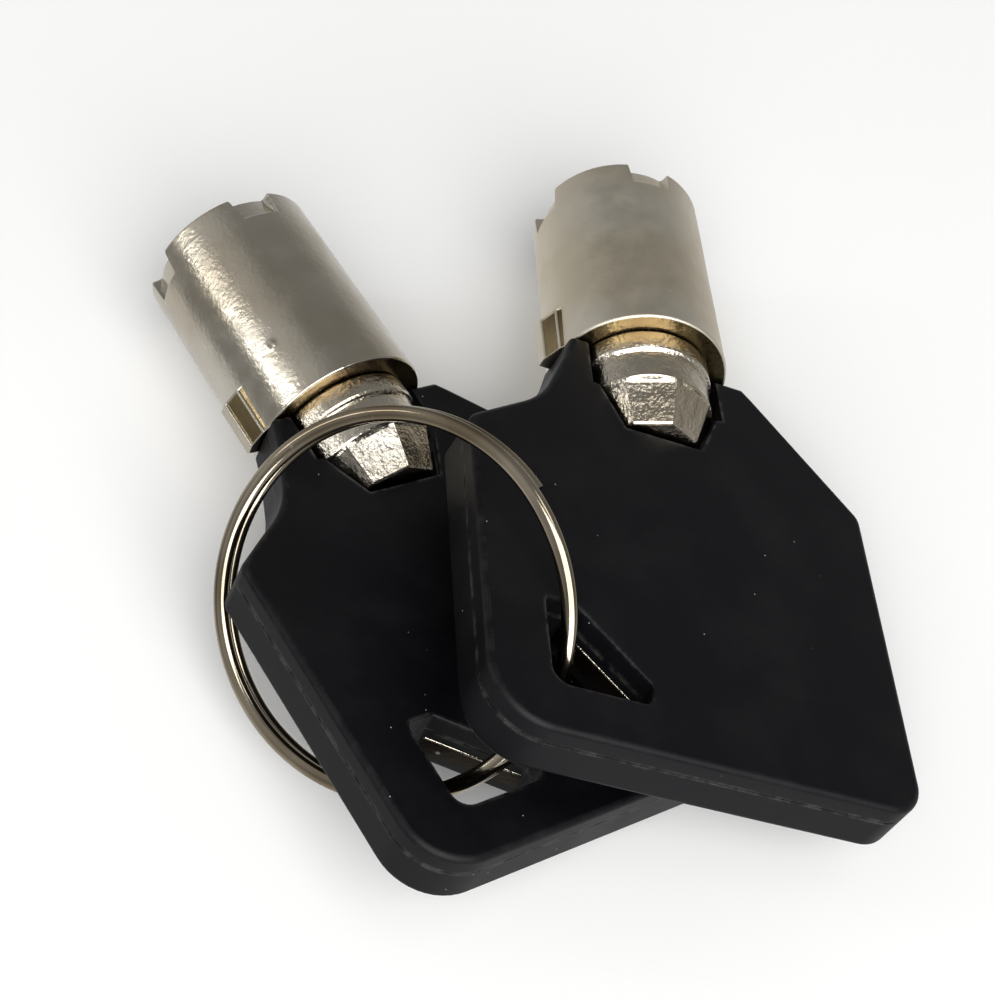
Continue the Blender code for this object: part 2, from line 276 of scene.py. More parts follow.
@dataclass(frozen=True)
class MouldedPlastic:
    """Black ABS moulded in a spark-eroded tool: satin, with a fine even grain.

    Handling leaves faint lighter scuffs and pale broken wear along the edges, which also stands in for a
    painted edge highlight, and dust shows on it as small pale specks.
    """

    name: str
    # The near-black base is tinted slightly blue, which paints the cool tint of reflected sky.
    base_hex: str = "050509"
    scuff_hex: str = "171719"
    scuff_mm: float = 5.0
    dust_hex: str = "B9B6AE"
    roughness: float = 0.46
    grain_mm: float = 0.16
    grain_height_mm: float = 0.0040
    speck_mm: float = 1.1
    specks_kept: tuple[float, float] = (0.60, 0.64)
    # Pale broken band along the edges: wear, and also a painted edge highlight.
    edge_wear_and_highlight_hex: str = "4C4B49"
    edge_wear_and_highlight_mm: float = 0.30
    chip_mm: float = 0.9

    def make(self) -> bpy.types.Material:
        """Build the material.

        Returns:
            The finished node material.
        """
        made = blank_material(self.name)
        tree = made.node_tree
        place = add_node(tree, "ShaderNodeTexCoord").outputs["Object"]
        grain, patch, chips = (
            add_node(tree, "ShaderNodeTexNoise", {"Scale": PER_METRE / size_mm, "Detail": detail,
                                                  "Roughness": roughness}, {"Vector": place}).outputs["Fac"]
            for size_mm, detail, roughness in ((self.grain_mm, 3.0, 0.6), (self.scuff_mm, 5.0, 0.6),
                                               (self.chip_mm, 5.0, 0.7)))
        speck = scattered_marks(tree, place, self.speck_mm, (0.018, 0.040), self.specks_kept, "Green")
        colour = add_node(tree, "ShaderNodeValToRGB", links={"Fac": patch})
        for stop, position, shade in zip(colour.color_ramp.elements, (0.45, 0.95),
                                         (self.base_hex, self.scuff_hex)):
            stop.position = position
            stop.color = linear(shade)
        dusty = add_node(tree, "ShaderNodeMix", {7: linear(self.dust_hex)},
                         {0: speck, 6: colour.outputs["Color"]}, data_type="RGBA")
        # A pale broken band along every edge, found from the bevel normal: wear that also paints the thin
        # edge highlight.
        rounder = add_node(tree, "ShaderNodeBevel", {"Radius": self.edge_wear_and_highlight_mm * MM}, samples=4)
        facing = add_node(tree, "ShaderNodeNewGeometry")
        turn = add_node(tree, "ShaderNodeVectorMath", links={0: rounder.outputs["Normal"],
                                                             1: facing.outputs["True Normal"]},
                        operation="DOT_PRODUCT")
        edge = add_node(tree, "ShaderNodeMapRange", {"From Min": 0.90, "From Max": 0.985, "To Min": 1.0,
                                                     "To Max": 0.0}, {"Value": turn.outputs["Value"]})
        broken = add_node(tree, "ShaderNodeMapRange", {"From Min": 0.44, "From Max": 0.60}, {"Value": chips})
        edge_wear_and_highlight_mask = add_node(tree, "ShaderNodeMath", links={0: edge.outputs["Result"],
                                                       1: broken.outputs["Result"]}, operation="MULTIPLY")
        edge_worn_and_highlit = add_node(tree, "ShaderNodeMix", {7: linear(self.edge_wear_and_highlight_hex)},
                        {0: edge_wear_and_highlight_mask.outputs["Value"], 6: dusty.outputs[2]}, data_type="RGBA")
        rough = add_node(tree, "ShaderNodeMapRange", {"From Min": 0.3, "From Max": 0.7,
                                                      "To Min": self.roughness - 0.05,
                                                      "To Max": self.roughness + 0.07}, {"Value": patch})
        bump = add_node(tree, "ShaderNodeBump", {"Strength": 1.0, "Distance": self.grain_height_mm * MM},
                        {"Height": grain})
        shader = add_node(tree, "ShaderNodeBsdfPrincipled", {"IOR": 1.46, "Specular IOR Level": 0.28},
                          {"Base Color": edge_worn_and_highlit.outputs[2], "Roughness": rough.outputs["Result"],
                           "Normal": bump.outputs["Normal"]})
        add_node(tree, "ShaderNodeOutputMaterial", links={"Surface": shader.outputs["BSDF"]})
        return made


@dataclass(frozen=True)
class PaperFloor:
    """White card: matt, even and very slightly mottled."""

    name: str = "white_card_floor"
    base_hex: str = "FCFCFB"
    mottle_hex: str = "F8F8F7"
    mottle_mm: float = 25.0

    def make(self) -> bpy.types.Material:
        """Build the material.

        Returns:
            The finished node material.
        """
        made = blank_material(self.name)
        tree = made.node_tree
        place = add_node(tree, "ShaderNodeTexCoord").outputs["Object"]
        mottle = add_node(tree, "ShaderNodeTexNoise", {"Scale": PER_METRE / self.mottle_mm, "Detail": 3.0},
                          {"Vector": place})
        colour = add_node(tree, "ShaderNodeValToRGB", links={"Fac": mottle.outputs["Fac"]})
        for stop, shade in zip(colour.color_ramp.elements, (self.mottle_hex, self.base_hex)):
            stop.color = linear(shade)
        shader = add_node(tree, "ShaderNodeBsdfPrincipled", {"Roughness": 0.9},
                          {"Base Color": colour.outputs["Color"]})
        add_node(tree, "ShaderNodeOutputMaterial", links={"Surface": shader.outputs["BSDF"]})
        return made


# --- Mesh tools ---


def mesh_object(name: str, builder: bmesh.types.BMesh) -> bpy.types.Object:
    """Turn a bmesh in key millimetres into a linked object, still in millimetres.

    Args:
        name: The new object's name.
        builder: The mesh, which is freed.

    Returns:
        The linked object.
    """
    mesh = bpy.data.meshes.new(name)
    bmesh.ops.recalc_face_normals(builder, faces=builder.faces)
    builder.to_mesh(mesh)
    builder.free()
    return add_object(name, mesh)


def loft(rings: list[list[Vector]], capped: bool = True) -> bmesh.types.BMesh:
    """Join rings of points with walls.

    Args:
        rings: Rings of the same number of points.
        capped: Whether both end rings get a face.

    Returns:
        The lofted mesh.
    """
    builder = bmesh.new()
    loops = [[builder.verts.new(point) for point in ring] for ring in rings]
    count = len(loops[0])
    for lower, upper in zip(loops, loops[1:]):
        for index in range(count):
            nxt = (index + 1) % count
            builder.faces.new((lower[index], lower[nxt], upper[nxt], upper[index]))
    if capped:
        builder.faces.new(loops[0])
        builder.faces.new(loops[-1])
    return builder


def rounded(corners: tuple, steps: int) -> list[Vector]:
    """Replace the corners of an outline with tangent arcs.

    Args:
        corners: (x, y, radius) of each corner.
        steps: Steps of each arc.

    Returns:
        The outline's points.
    """
    points = []
    count = len(corners)
    for index, (x, y, radius) in enumerate(corners):
        here = Vector((x, y))
        back = (Vector(corners[index - 1][:2]) - here).normalized()
        ahead = (Vector(corners[(index + 1) % count][:2]) - here).normalized()
        half = back.angle(ahead) / 2.0
        reach = radius / math.tan(half)
        centre = here + (back + ahead).normalized() * (radius / math.sin(half))
        start = here + back * reach - centre
        end = here + ahead * reach - centre
        sweep = math.atan2(start.x * end.y - start.y * end.x, start.dot(end))
        for step in range(steps + 1):
            angle = sweep * step / steps
            points.append(centre + Vector((start.x * math.cos(angle) - start.y * math.sin(angle),
                                           start.x * math.sin(angle) + start.y * math.cos(angle))))
    return points


def widened(corners: tuple, distance: float) -> tuple:
    """Move an outline's corners outwards by a distance, with their radii to match.

    Args:
        corners: (x, y, radius) of each corner, in either direction.
        distance: How far the outline moves outwards, negative for inwards.

    Returns:
        The moved corners.
    """
    following = corners[1:] + corners[:1]
    area = sum(one[0] * two[1] - two[0] * one[1] for one, two in zip(corners, following))
    outside = -1.0 if area > 0.0 else 1.0
    grown = []
    for index, (x, y, radius) in enumerate(corners):
        here = Vector((x, y))
        along_in = (here - Vector(corners[index - 1][:2])).normalized()
        along_out = (Vector(following[index][:2]) - here).normalized()
        bisector = Vector((-along_in.y - along_out.y, along_in.x + along_out.x)) * outside
        moved = here + bisector * (2.0 * distance / bisector.length_squared)
        turn = along_in.x * along_out.y - along_in.y * along_out.x
        growth = distance if turn * outside < 0.0 else -distance
        grown.append((moved.x, moved.y, max(0.03, radius + growth)))
    return tuple(grown)


def close_columns(builder: bmesh.types.BMesh, poles: tuple[bmesh.types.BMVert, bmesh.types.BMVert],
                  columns: list[list[bmesh.types.BMVert]], marked_rows: int = 0) -> None:
    """Join columns of points that stand round an axis, and close both ends with a fan to a pole.

    Args:
        builder: The mesh that holds the points.
        poles: The pole at the columns' first points and the pole at their last ones.
        columns: The columns, in order round the axis.
        marked_rows: How many of the first rows of faces get the piece's second finish.
    """
    for column, following in zip(columns, columns[1:] + columns[:1]):
        for row in range(len(column) - 1):
            face = builder.faces.new((column[row], column[row + 1], following[row + 1], following[row]))
            face.material_index = int(row < marked_rows)
        builder.faces.new((poles[0], column[0], following[0]))
        builder.faces.new((poles[1], following[-1], column[-1]))


def cut_away(target: bpy.types.Object, tool: bpy.types.Object) -> None:
    """Apply an exact Boolean difference and remove the tool.

    Args:
        target: The object that is cut.
        tool: The cutter, which is removed.
    """
    change = target.modifiers.new("cut", "BOOLEAN")
    change.operation = "DIFFERENCE"
    change.solver = "EXACT"
    change.object = tool
    freeze(target)
    bpy.data.objects.remove(tool, do_unlink=True)


def freeze(obj: bpy.types.Object) -> None:
    """Turn an object's modifiers into plain mesh.

    Args:
        obj: The object to change.
    """
    bpy.context.view_layer.update()
    graph = bpy.context.evaluated_depsgraph_get()
    made = bpy.data.meshes.new_from_object(obj.evaluated_get(graph))
    obj.modifiers.clear()
    old = obj.data
    obj.data = made
    bpy.data.meshes.remove(old)


def soften_edges(obj: bpy.types.Object, width: float, segments: int, angle: float) -> None:
    """Round an object's sharp edges and even out its shading.

    Args:
        obj: The object to change.
        width: Bevel width in the mesh's units.
        segments: Bevel segments.
        angle: Edges sharper than this many degrees are rounded.
    """
    bevel = obj.modifiers.new("edge_round", "BEVEL")
    bevel.width = width
    bevel.segments = segments
    bevel.limit_method = "ANGLE"
    bevel.angle_limit = math.radians(angle)
    bevel.use_clamp_overlap = True
    obj.data.shade_smooth()
    even = obj.modifiers.new("even_shading", "WEIGHTED_NORMAL")
    even.weight = 60
    even.keep_sharp = True
    freeze(obj)


# --- The key ---


class Side(Enum):
    """Which of the two keys."""

    LEFT = "left"
    RIGHT = "right"


@dataclass
class Placement:
    """Where a key lies: its origin in millimetres and its turns in degrees about Z, then X, then Y."""

    origin: Vector
    turns: tuple[float, float, float]

    def matrix(self) -> Matrix:
        """Matrix from key millimetres to the table's frame in metres."""
        yaw, pitch, roll = (math.radians(turn) for turn in self.turns)
        turn = (Matrix.Rotation(yaw, 4, "Z") @ Matrix.Rotation(pitch, 4, "X")
                @ Matrix.Rotation(roll, 4, "Y"))
        return Matrix.Scale(MM, 4) @ Matrix.Translation(SHIFT + self.origin) @ turn


@dataclass
class Barrel:
    """Hollow barrel with bitting cuts round its mouth and two guide lugs at its base."""

    length: float = 12.5
    base_radius: float = 4.85
    mouth_radius: float = 4.70
    bore_radius: float = 3.80
    bore_depth: float = 9.5
    rim_round: float = 0.16
    mouth_lead: float = 0.28
    base_round: float = 0.13
    pole_ring: float = 1.5
    annulus_radius: float = 3.4
    floor_round: float = 0.2
    columns: int = 432
    wall_rows: int = 80
    # Each notch's angle round the mouth in degrees, and its depth.
    bitting: tuple = ((0.0, 0.85), (94.0, 1.40), (180.0, 1.40), (225.0, 0.90), (270.0, 1.40))
    cut_half_width: float = 15.5
    cut_floor_half_width: float = 13.0
    inner_depth_ratio: float = 0.04
    lug_section: tuple = ((4.15, -1.10), (5.40, -1.10), (5.40, -0.45), (5.02, 0.55), (4.70, 1.00),
                          (4.15, 1.00))
    stop_section: tuple = ((4.10, -1.60), (5.05, -1.60), (5.05, -0.80), (4.10, -0.80))
    lug_frame: float = 0.12
    lug_recess: float = 0.09
    lug_round: float = 0.07
    # The ripples and the blister are on the wall's outside, away from its two ends.
    outside_radius: float = 4.4
    ripple_radius: float = 4.8
    ripples: tuple = ((0.012, 0.55), (0.005, 1.7))
    plain_base: float = 0.4
    plain_mouth: float = 1.0
    # The first barrel's blister: degrees round the wall, height, radius and rise.
    blister: tuple = (137.0, 3.45, 0.30, 0.11)

    def cut_depth(self, degrees: float) -> float:
        """Depth of the bitting at an angle round the mouth.

        Args:
            degrees: The angle.

        Returns:
            The depth from the mouth plane.
        """
        deepest = 0.0
        for centre, depth in self.bitting:
            off = abs((degrees - centre + 180.0) % 360.0 - 180.0)
            ramp = (self.cut_half_width - off) / (self.cut_half_width - self.cut_floor_half_width)
            deepest = max(deepest, depth * smooth_step(ramp))
        return deepest

    def profile(self, degrees: float) -> list[tuple[float, float]]:
        """Outline one column of the tube, from the base's middle to the bore's floor.

        Args:
            degrees: The column's angle round the tube.

        Returns:
            Radius and height of the column's points.
        """
        depth = self.cut_depth(degrees)
        outer_top = self.length - depth
        inner_top = self.length - depth * self.inner_depth_ratio
        points = [(self.pole_ring, 0.0), (self.annulus_radius, 0.0)]
        for rise, run in quarter_arc(4):
            points.append((self.base_radius - self.base_round * (1.0 - rise), self.base_round * (1.0 - run)))
        wall_low = self.base_round
        wall_high = outer_top - self.rim_round
        for step in range(1, self.wall_rows + 1):
            share = step / self.wall_rows
            y = wall_low + (wall_high - wall_low) * share
            points.append((self.base_radius + (self.mouth_radius - self.base_radius) * y / self.length, y))
        land_outer = self.mouth_radius - self.rim_round
        for rise, run in quarter_arc(3, 1):
            points.append((land_outer + self.rim_round * run, wall_high + self.rim_round * rise))
        edge = self.mouth_lead
        for step in range(1, 5):
            share = step / 4
            radius = land_outer + (self.bore_radius + edge - land_outer) * share
            points.append((radius, outer_top + (inner_top - outer_top) * share))
        points.append((self.bore_radius, inner_top - edge))
        floor = self.length - self.bore_depth
        drop = floor + self.floor_round - inner_top + edge
        for step in range(1, 9):
            points.append((self.bore_radius, inner_top - edge + drop * step / 8))
        points += [(self.bore_radius - self.floor_round, floor), (self.pole_ring, floor)]
        return points

    def build(self, name: str, seed: int) -> bpy.types.Object:
        """Build the tube and its lugs.

        Args:
            name: The piece's name.
            seed: Shifts the uneven surface, so that two barrels differ.

        Returns:
            The piece, in key millimetres.
        """
        builder = bmesh.new()
        poles = tuple(builder.verts.new((0.0, y, 0.0)) for y in (0.0, self.length - self.bore_depth))
        columns = []
        for index in range(self.columns):
            degrees = 360.0 * index / self.columns
            angle = math.radians(degrees)
            column = []
            for radius, y in self.profile(degrees):
                reach = radius
                if radius > self.outside_radius and self.plain_base < y < self.length - self.plain_mouth:
                    reach += self.unevenness(angle, y, seed)
                column.append(builder.verts.new((reach * math.cos(angle), y, reach * math.sin(angle))))
            columns.append(column)
        close_columns(builder, poles, columns, 2)
        barrel = mesh_object(name, builder)
        for number, (side, low, high, section) in enumerate((
            (-1.0, 0.02, 3.00, self.lug_section),
            (1.0, 0.02, 2.40, self.lug_section),
            (1.0, 8.00, 9.50, self.stop_section),
        )):
            join_into(barrel, self.build_lug(f"{name}_lug_{number}", side, low, high, section))
        return barrel

    def unevenness(self, angle: float, y: float, seed: int) -> float:
        """Height of the plated wall's slow ripples, and of the first barrel's blister.

        Args:
            angle: Angle round the tube in radians.
            y: Height along the tube.
            seed: Shifts the ripples; only the barrel with 0 has the blister.

        Returns:
            How far the wall stands out.
        """
        turn = self.ripple_radius
        place = Vector((turn * math.cos(angle), y * 0.7, turn * math.sin(angle) + 31.0 * seed))
        ripple = sum(height * noise.noise(place * pitch) for height, pitch in self.ripples)
        centre, level, radius, rise = self.blister
        around = (math.degrees(angle) - centre + 180.0) % 360.0 - 180.0
        off = math.hypot(math.radians(around) * turn, y - level) / radius
        bump = rise * math.exp(-2.2 * off * off) if seed == 0 else 0.0
        return ripple + bump

    def build_lug(self, name: str, side: float, low: float, high: float,
                  section: tuple) -> bpy.types.Object:
        """Build one lug: a bar along the barrel whose two slanted faces have shallow framed recesses.

        Args:
            name: The lug's name.
            side: -1 for the side of the bow with the key-ring hole, 1 for the other.
            low: Its lower end along the barrel.
            high: Its upper end.
            section: Corners of its section as distance from the axis and z.

        Returns:
            The lug, a closed mesh that runs into the barrel's wall.
        """
        rings = [[Vector((side * reach, y, z)) for reach, z in section] for y in (low, high)]
        builder = loft(rings)
        bmesh.ops.recalc_face_normals(builder, faces=builder.faces)
        slanted = [face for face in builder.faces if 0.2 < face.normal.z < 0.6]
        if slanted:
            bmesh.ops.inset_individual(builder, faces=slanted, thickness=self.lug_frame,
                                       depth=-self.lug_recess)
            for face in slanted:
                face.material_index = 1
        made = mesh_object(name, builder)
        soften_edges(made, self.lug_round, 3, 25.0)
        return made


def join_into(target: bpy.types.Object, extra: bpy.types.Object) -> None:
    """Add another closed mesh to a piece's mesh.

    Args:
        target: The piece that grows.
        extra: The object whose mesh is taken, and which is removed.
    """
    builder = bmesh.new()
    builder.from_mesh(target.data)
    builder.from_mesh(extra.data)
    builder.to_mesh(target.data)
    builder.free()
    bpy.data.objects.remove(extra, do_unlink=True)


@dataclass
class ShankInsert:
    """Casting inside the barrel and bow: collar, round shank, eight-sided tail and flat blade."""

    collar_radius: float = 3.86
    collar_end: float = -1.30
    shank_radius: float = 3.66
    shank_end: float = -3.20
    tail_end: float = -5.50
    tail_radius: float = 2.60
    collar_round: float = 0.18
    sides: int = 8
    columns: int = 192
    rough_from: float = 2.4
    shank_rough: float = 0.020
    tail_rough: float = 0.028
    blade_top: float = 0.0
    blade_thickness: float = 1.15
    blade_proud: float = 0.085
    blade_round: float = 0.11
    blade_shoulders: tuple[float, float] = (-8.0, -11.0)
    neck_half_width: float = 2.2
    blade_half_width: float = 6.4

    def reach(self, angle: float, radius: float, octagon: float) -> float:
        """Blend a circle with the octagon whose corners lie on it.

        Args:
            angle: Angle round the casting in radians.
            radius: Radius of the circle.
            octagon: Share of the octagon, from 0 to 1.

        Returns:
            Radius at the angle.
        """
        sector = 2.0 * math.pi / self.sides
        off = (angle % sector) - sector / 2.0
        flat = radius * math.cos(sector / 2.0) / math.cos(off)
        return radius + (flat - radius) * octagon

    def profile(self) -> list[tuple[float, float, float]]:
        """Outline the casting, from the top of the collar down.

        Returns:
            Height, radius and share of the octagon of each row of points.
        """
        edge = self.collar_round
        rows = [(0.0, self.collar_radius - edge, 0.0), (-0.06, self.collar_radius - 0.05, 0.0),
                (-edge, self.collar_radius, 0.0)]
        for step in range(1, 6):
            rows.append((-edge + (self.collar_end + 0.16 + edge) * step / 5, self.collar_radius, 0.0))
        rows += [(self.collar_end + 0.05, self.collar_radius - 0.06, 0.0),
                 (self.collar_end - 0.02, self.shank_radius + 0.02, 0.0),
                 (self.collar_end - 0.10, self.shank_radius - 0.05, 0.0),
                 (self.collar_end - 0.20, self.shank_radius, 0.0)]
        for step in range(1, 9):
            rows.append((self.collar_end - 0.20 + (self.shank_end + 0.06 - self.collar_end + 0.20) * step / 8,
                         self.shank_radius, 0.0))
        rows += [(self.shank_end, self.shank_radius - 0.03, 0.15),
                 (self.shank_end - 0.07, self.shank_radius - 0.05, 0.75),
                 (self.shank_end - 0.16, self.shank_radius - 0.10, 1.0)]
        top_y, top_radius = self.shank_end - 0.16, self.shank_radius - 0.10
        for step in range(1, 13):
            share = step / 12
            rows.append((top_y + (self.tail_end + 0.1 - top_y) * share,
                         top_radius + (self.tail_radius + 0.1 - top_radius) * share, 1.0))
        rows += [(self.tail_end + 0.02, self.tail_radius, 1.0), (self.tail_end, self.tail_radius - 0.1, 1.0),
                 (self.tail_end, 1.0, 1.0)]
        return rows

    def build(self, name: str, seed: int, hole: "RingHole") -> bpy.types.Object:
        """Build the casting with its hammered unevenness.

        Args:
            name: The piece's name.
            seed: Shifts the uneven surface.
            hole: The key-ring hole, along whose slanted wall the blade ends.

        Returns:
            The piece, in key millimetres.
        """
        builder = bmesh.new()
        poles = tuple(builder.verts.new((0.0, y, 0.0)) for y in (0.0, self.tail_end))
        columns = []
        rows = self.profile()
        for index in range(self.columns):
            angle = 2.0 * math.pi * index / self.columns
            column = []
            for y, radius, octagon in rows:
                reach = self.reach(angle, radius, octagon)
                if radius > self.rough_from:
                    place = Vector((radius * math.cos(angle), y, radius * math.sin(angle) + 17.0 * seed))
                    rough = self.tail_rough if y < self.shank_end - 0.1 else self.shank_rough
                    reach += rough * noise.noise(place * 1.6) + 0.4 * rough * noise.noise(place * 4.5)
                column.append(builder.verts.new((reach * math.cos(angle), y, reach * math.sin(angle))))
            columns.append(column)
        close_columns(builder, poles, columns)
        insert = mesh_object(name, builder)
        join_into(insert, self.build_blade(f"{name}_blade", hole))
        return insert

    def build_blade(self, name: str, hole: "RingHole") -> bpy.types.Object:
        """Build the flat blade, whose slanted edge shows in the wall of the key-ring hole.

        Args:
            name: The blade's name.
            hole: The key-ring hole.

        Returns:
            The blade, a closed mesh that runs into the casting's tail.
        """
        slope = (hole.slant_end[1] - hole.top) / (hole.slant_end[0] - hole.slant_top_x)
        left = -self.blade_half_width
        low = hole.bottom - 0.5
        left_y = hole.top + slope * (left - hole.slant_top_x) - self.blade_proud
        low_x = hole.slant_end[0] + (low - hole.slant_end[1]) / slope - self.blade_proud
        neck, neck_top = self.neck_half_width, self.tail_end + 0.6
        inner, outer = self.blade_shoulders
        outline = [(neck, neck_top), (-neck, neck_top), (-neck, inner), (left, outer), (left, left_y),
                   (low_x, low), (-left, low), (-left, outer), (neck, inner)]
        rings = [[Vector((x, y, z)) for x, y in outline]
                 for z in (self.blade_top - self.blade_thickness, self.blade_top)]
        made = mesh_object(name, loft(rings))
        soften_edges(made, self.blade_round, 1, 40.0)
        # The blade's flat faces, walls and lower bevels get the second finish: a dull zinc tone, darkened
        # further as a painted dark reflection of the black bow around it. Its upper bevels keep the bright
        # casting finish.
        for polygon in made.data.polygons:
            polygon.material_index = int(not 0.3 < polygon.normal.z < 0.95)
        return made


@dataclass
class RingHole:
    """Key-ring hole in the bow's corner: a right triangle with cut corners."""

    left: float = -8.0
    bottom: float = -23.5
    top: float = -18.6
    slant_top_x: float = -6.5
    slant_end: tuple[float, float] = (-2.7, -22.35)
    rim: float = 0.13

    def outline(self) -> tuple:
        """Corners of the hole and their radii, clockwise."""
        return ((self.left, self.top, 0.3), (self.slant_top_x, self.top, 0.3),
                (self.slant_end[0], self.slant_end[1], 0.3),
                (self.slant_end[0] - 0.25, self.bottom, 0.4), (self.left, self.bottom, 0.9))

    def cutter(self, name: str, half: float) -> bpy.types.Object:
        """Build the cutter, which flares with a rounded rim at both faces of the bow.

        Args:
            name: The cutter's name.
            half: Half of the bow's thickness.

        Returns:
            The cutter.
        """
        levels = [(-half - 0.6, self.rim)]
        for rise, run in quarter_arc(4):
            levels.append((-half + self.rim * (1.0 - run) + 1e-4, self.rim * (1.0 - rise)))
        upper = [(-z, grow) for z, grow in reversed(levels)]
        rings = []
        for z, grow in levels + upper:
            outline = rounded(widened(self.outline(), grow), 6)
            rings.append([Vector((point.x, point.y, z)) for point in outline])
        return mesh_object(name, loft(rings))


class Shell(Enum):
    """The two halves of a bow."""

    FRONT = "front"
    BACK = "back"


@dataclass
class Bow:
    """Plastic bow of two shells with a parting line, rounded edges and a seat for the shank."""

    thickness: float = 3.4
    seam: float = 0.5
    seam_gap: float = 0.02
    left: float = -11.25
    right: float = 11.85
    end: float = -26.2
    seam_lip: float = 0.022
    edge_round: float = 0.36
    cut_round: float = 0.09
    seat_radius: float = 4.27
    seat_gap: float = 0.35
    seat_columns: int = 96
    hole: RingHole = field(default_factory=RingHole)
    insert: ShankInsert = field(default_factory=ShankInsert)

    def outline(self, inset: float = 0.0) -> list[Vector]:
        """Outline the bow, from its left ear round to its right ear.

        Args:
            inset: How far the outline moves inwards.

        Returns:
            The outline's points.
        """
        corners = ((-4.85, 0.0, 0.25), (-5.35, -1.50, 3.0), (-7.00, -5.10, 5.0), (self.left, -7.95, 0.8),
                   (self.left, self.end, 3.2), (self.right, self.end, 1.9), (self.right, -7.35, 1.2),
                   (6.25, -0.65, 0.8), (5.65, 0.0, 0.3))
        return rounded(widened(corners, -inset), 12)

    def build(self, name: str, shell: Shell) -> bpy.types.Object:
        """Build one shell.

        Args:
            name: The piece's name.
            shell: Which half of the bow.

        Returns:
            The piece, in key millimetres.
        """
        half = self.thickness / 2.0
        if shell is Shell.FRONT:
            levels = self.edge_levels(self.seam + self.seam_gap, half)
        else:
            levels = [(-z, inset) for z, inset in self.edge_levels(-self.seam + self.seam_gap, half)]
        rings = [[Vector((point.x, point.y, z)) for point in self.outline(inset)] for z, inset in levels]
        made = mesh_object(name, loft(rings))
        cut_away(made, mesh_object(f"{name}_seat", loft(self.seat_rings())))
        cut_away(made, self.hole.cutter(f"{name}_hole", half))
        soften_edges(made, self.cut_round, 2, 38.0)
        return made

    def edge_levels(self, low: float, high: float) -> list[tuple[float, float]]:
        """Step a shell's outline from the parting line to the rounded face.

        Args:
            low: Height of the shell's edge at the parting line.
            high: Height of its face.

        Returns:
            Height and inset of each outline.
        """
        lip = self.seam_lip
        levels = [(low, lip), (low + 0.01, lip * 0.45), (low + lip, 0.0)]
        for rise, run in quarter_arc(5):
            levels.append((high - self.edge_round * (1.0 - rise), self.edge_round * (1.0 - run)))
        return levels

    def seat_rings(self) -> list[list[Vector]]:
        """Outline the seat that the shank and its tail leave in the bow.

        Returns:
            Rings of points down the seat.
        """
        insert = self.insert
        rows = [(1.0, self.seat_radius, 0.0), (insert.shank_end + 0.1, self.seat_radius, 0.0),
                (insert.shank_end, insert.shank_radius + self.seat_gap + 0.2, 1.0),
                (insert.tail_end - 0.3, insert.tail_radius + self.seat_gap, 1.0)]
        rings = []
        for y, radius, octagon in rows:
            ring = []
            for index in range(self.seat_columns):
                angle = 2.0 * math.pi * index / self.seat_columns
                reach = insert.reach(angle, radius, octagon)
                ring.append(Vector((reach * math.cos(angle), y, reach * math.sin(angle))))
            rings.append(ring)
        return rings


@dataclass
class TubularKey:
    """One key: barrel, shank insert and a bow of two shells."""

    side: Side
    placement: Placement
    seed: int
    barrel: Barrel = field(default_factory=Barrel)
    insert: ShankInsert = field(default_factory=ShankInsert)
    bow: Bow = field(default_factory=Bow)

    def build(self, barrel_metals: tuple[bpy.types.Material, ...],
              insert_metals: tuple[bpy.types.Material, ...], plastic: bpy.types.Material) -> None:
        """Build, dress and place the key's pieces.

        Args:
            barrel_metals: Finishes of the barrel and of the recesses in its lugs.
            insert_metals: Finishes of the casting and of its blade, whose dark brown is partly a painted dark
                reflection.
            plastic: Finish of the bow.
        """
        name = self.side.value
        barrel = self.barrel.build(f"{name}_key_barrel", self.seed)
        insert = self.insert.build(f"{name}_key_insert", self.seed, self.bow.hole)
        made = [(barrel, f"{name}_barrel", barrel_metals, "barrel_metal"),
                (insert, f"{name}_shank_insert", insert_metals, "insert_metal")]
        for shell in Shell:
            half = self.bow.build(f"{name}_key_bow_{shell.value}", shell)
            made.append((half, f"{name}_bow_{shell.value}_shell", (plastic,), "bow_plastic"))
        for piece, node, finishes, slot in made:
            settle(piece, self.placement.matrix(), finishes, f"{name}_key", node)


def settle(piece: bpy.types.Object, place: Matrix, finishes: tuple[bpy.types.Material, ...],
           body: str, node: str) -> None:
    """Place a piece in its mesh, dress it and tie it to its body.

    Args:
        piece: The piece, in its own millimetres.
        place: Matrix to the table's frame in metres.
        finishes: Materials of the piece; with one, all its faces get it.
        body: The body that it moves with.
        node: The node that it stands for.
    """
    piece.data.transform(place)
    for finish in finishes:
        if finish.name not in piece.data.materials:
            piece.data.materials.append(finish)
    if len(finishes) == 1:
        for polygon in piece.data.polygons:
            polygon.material_index = 0
    if not piece.data.has_custom_normals:
        piece.data.shade_smooth()
        piece.data.set_sharp_from_angle(angle=math.radians(50.0))
    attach(piece, body)
    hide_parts(node)
    low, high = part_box(node)
    LOG.info("%s: %d triangles, node %s from %s to %s mm", piece.name,
             sum(len(polygon.vertices) - 2 for polygon in piece.data.polygons), node,
             tuple(round(value / MM, 2) for value in low), tuple(round(value / MM, 2) for value in high))


# --- The split ring ---


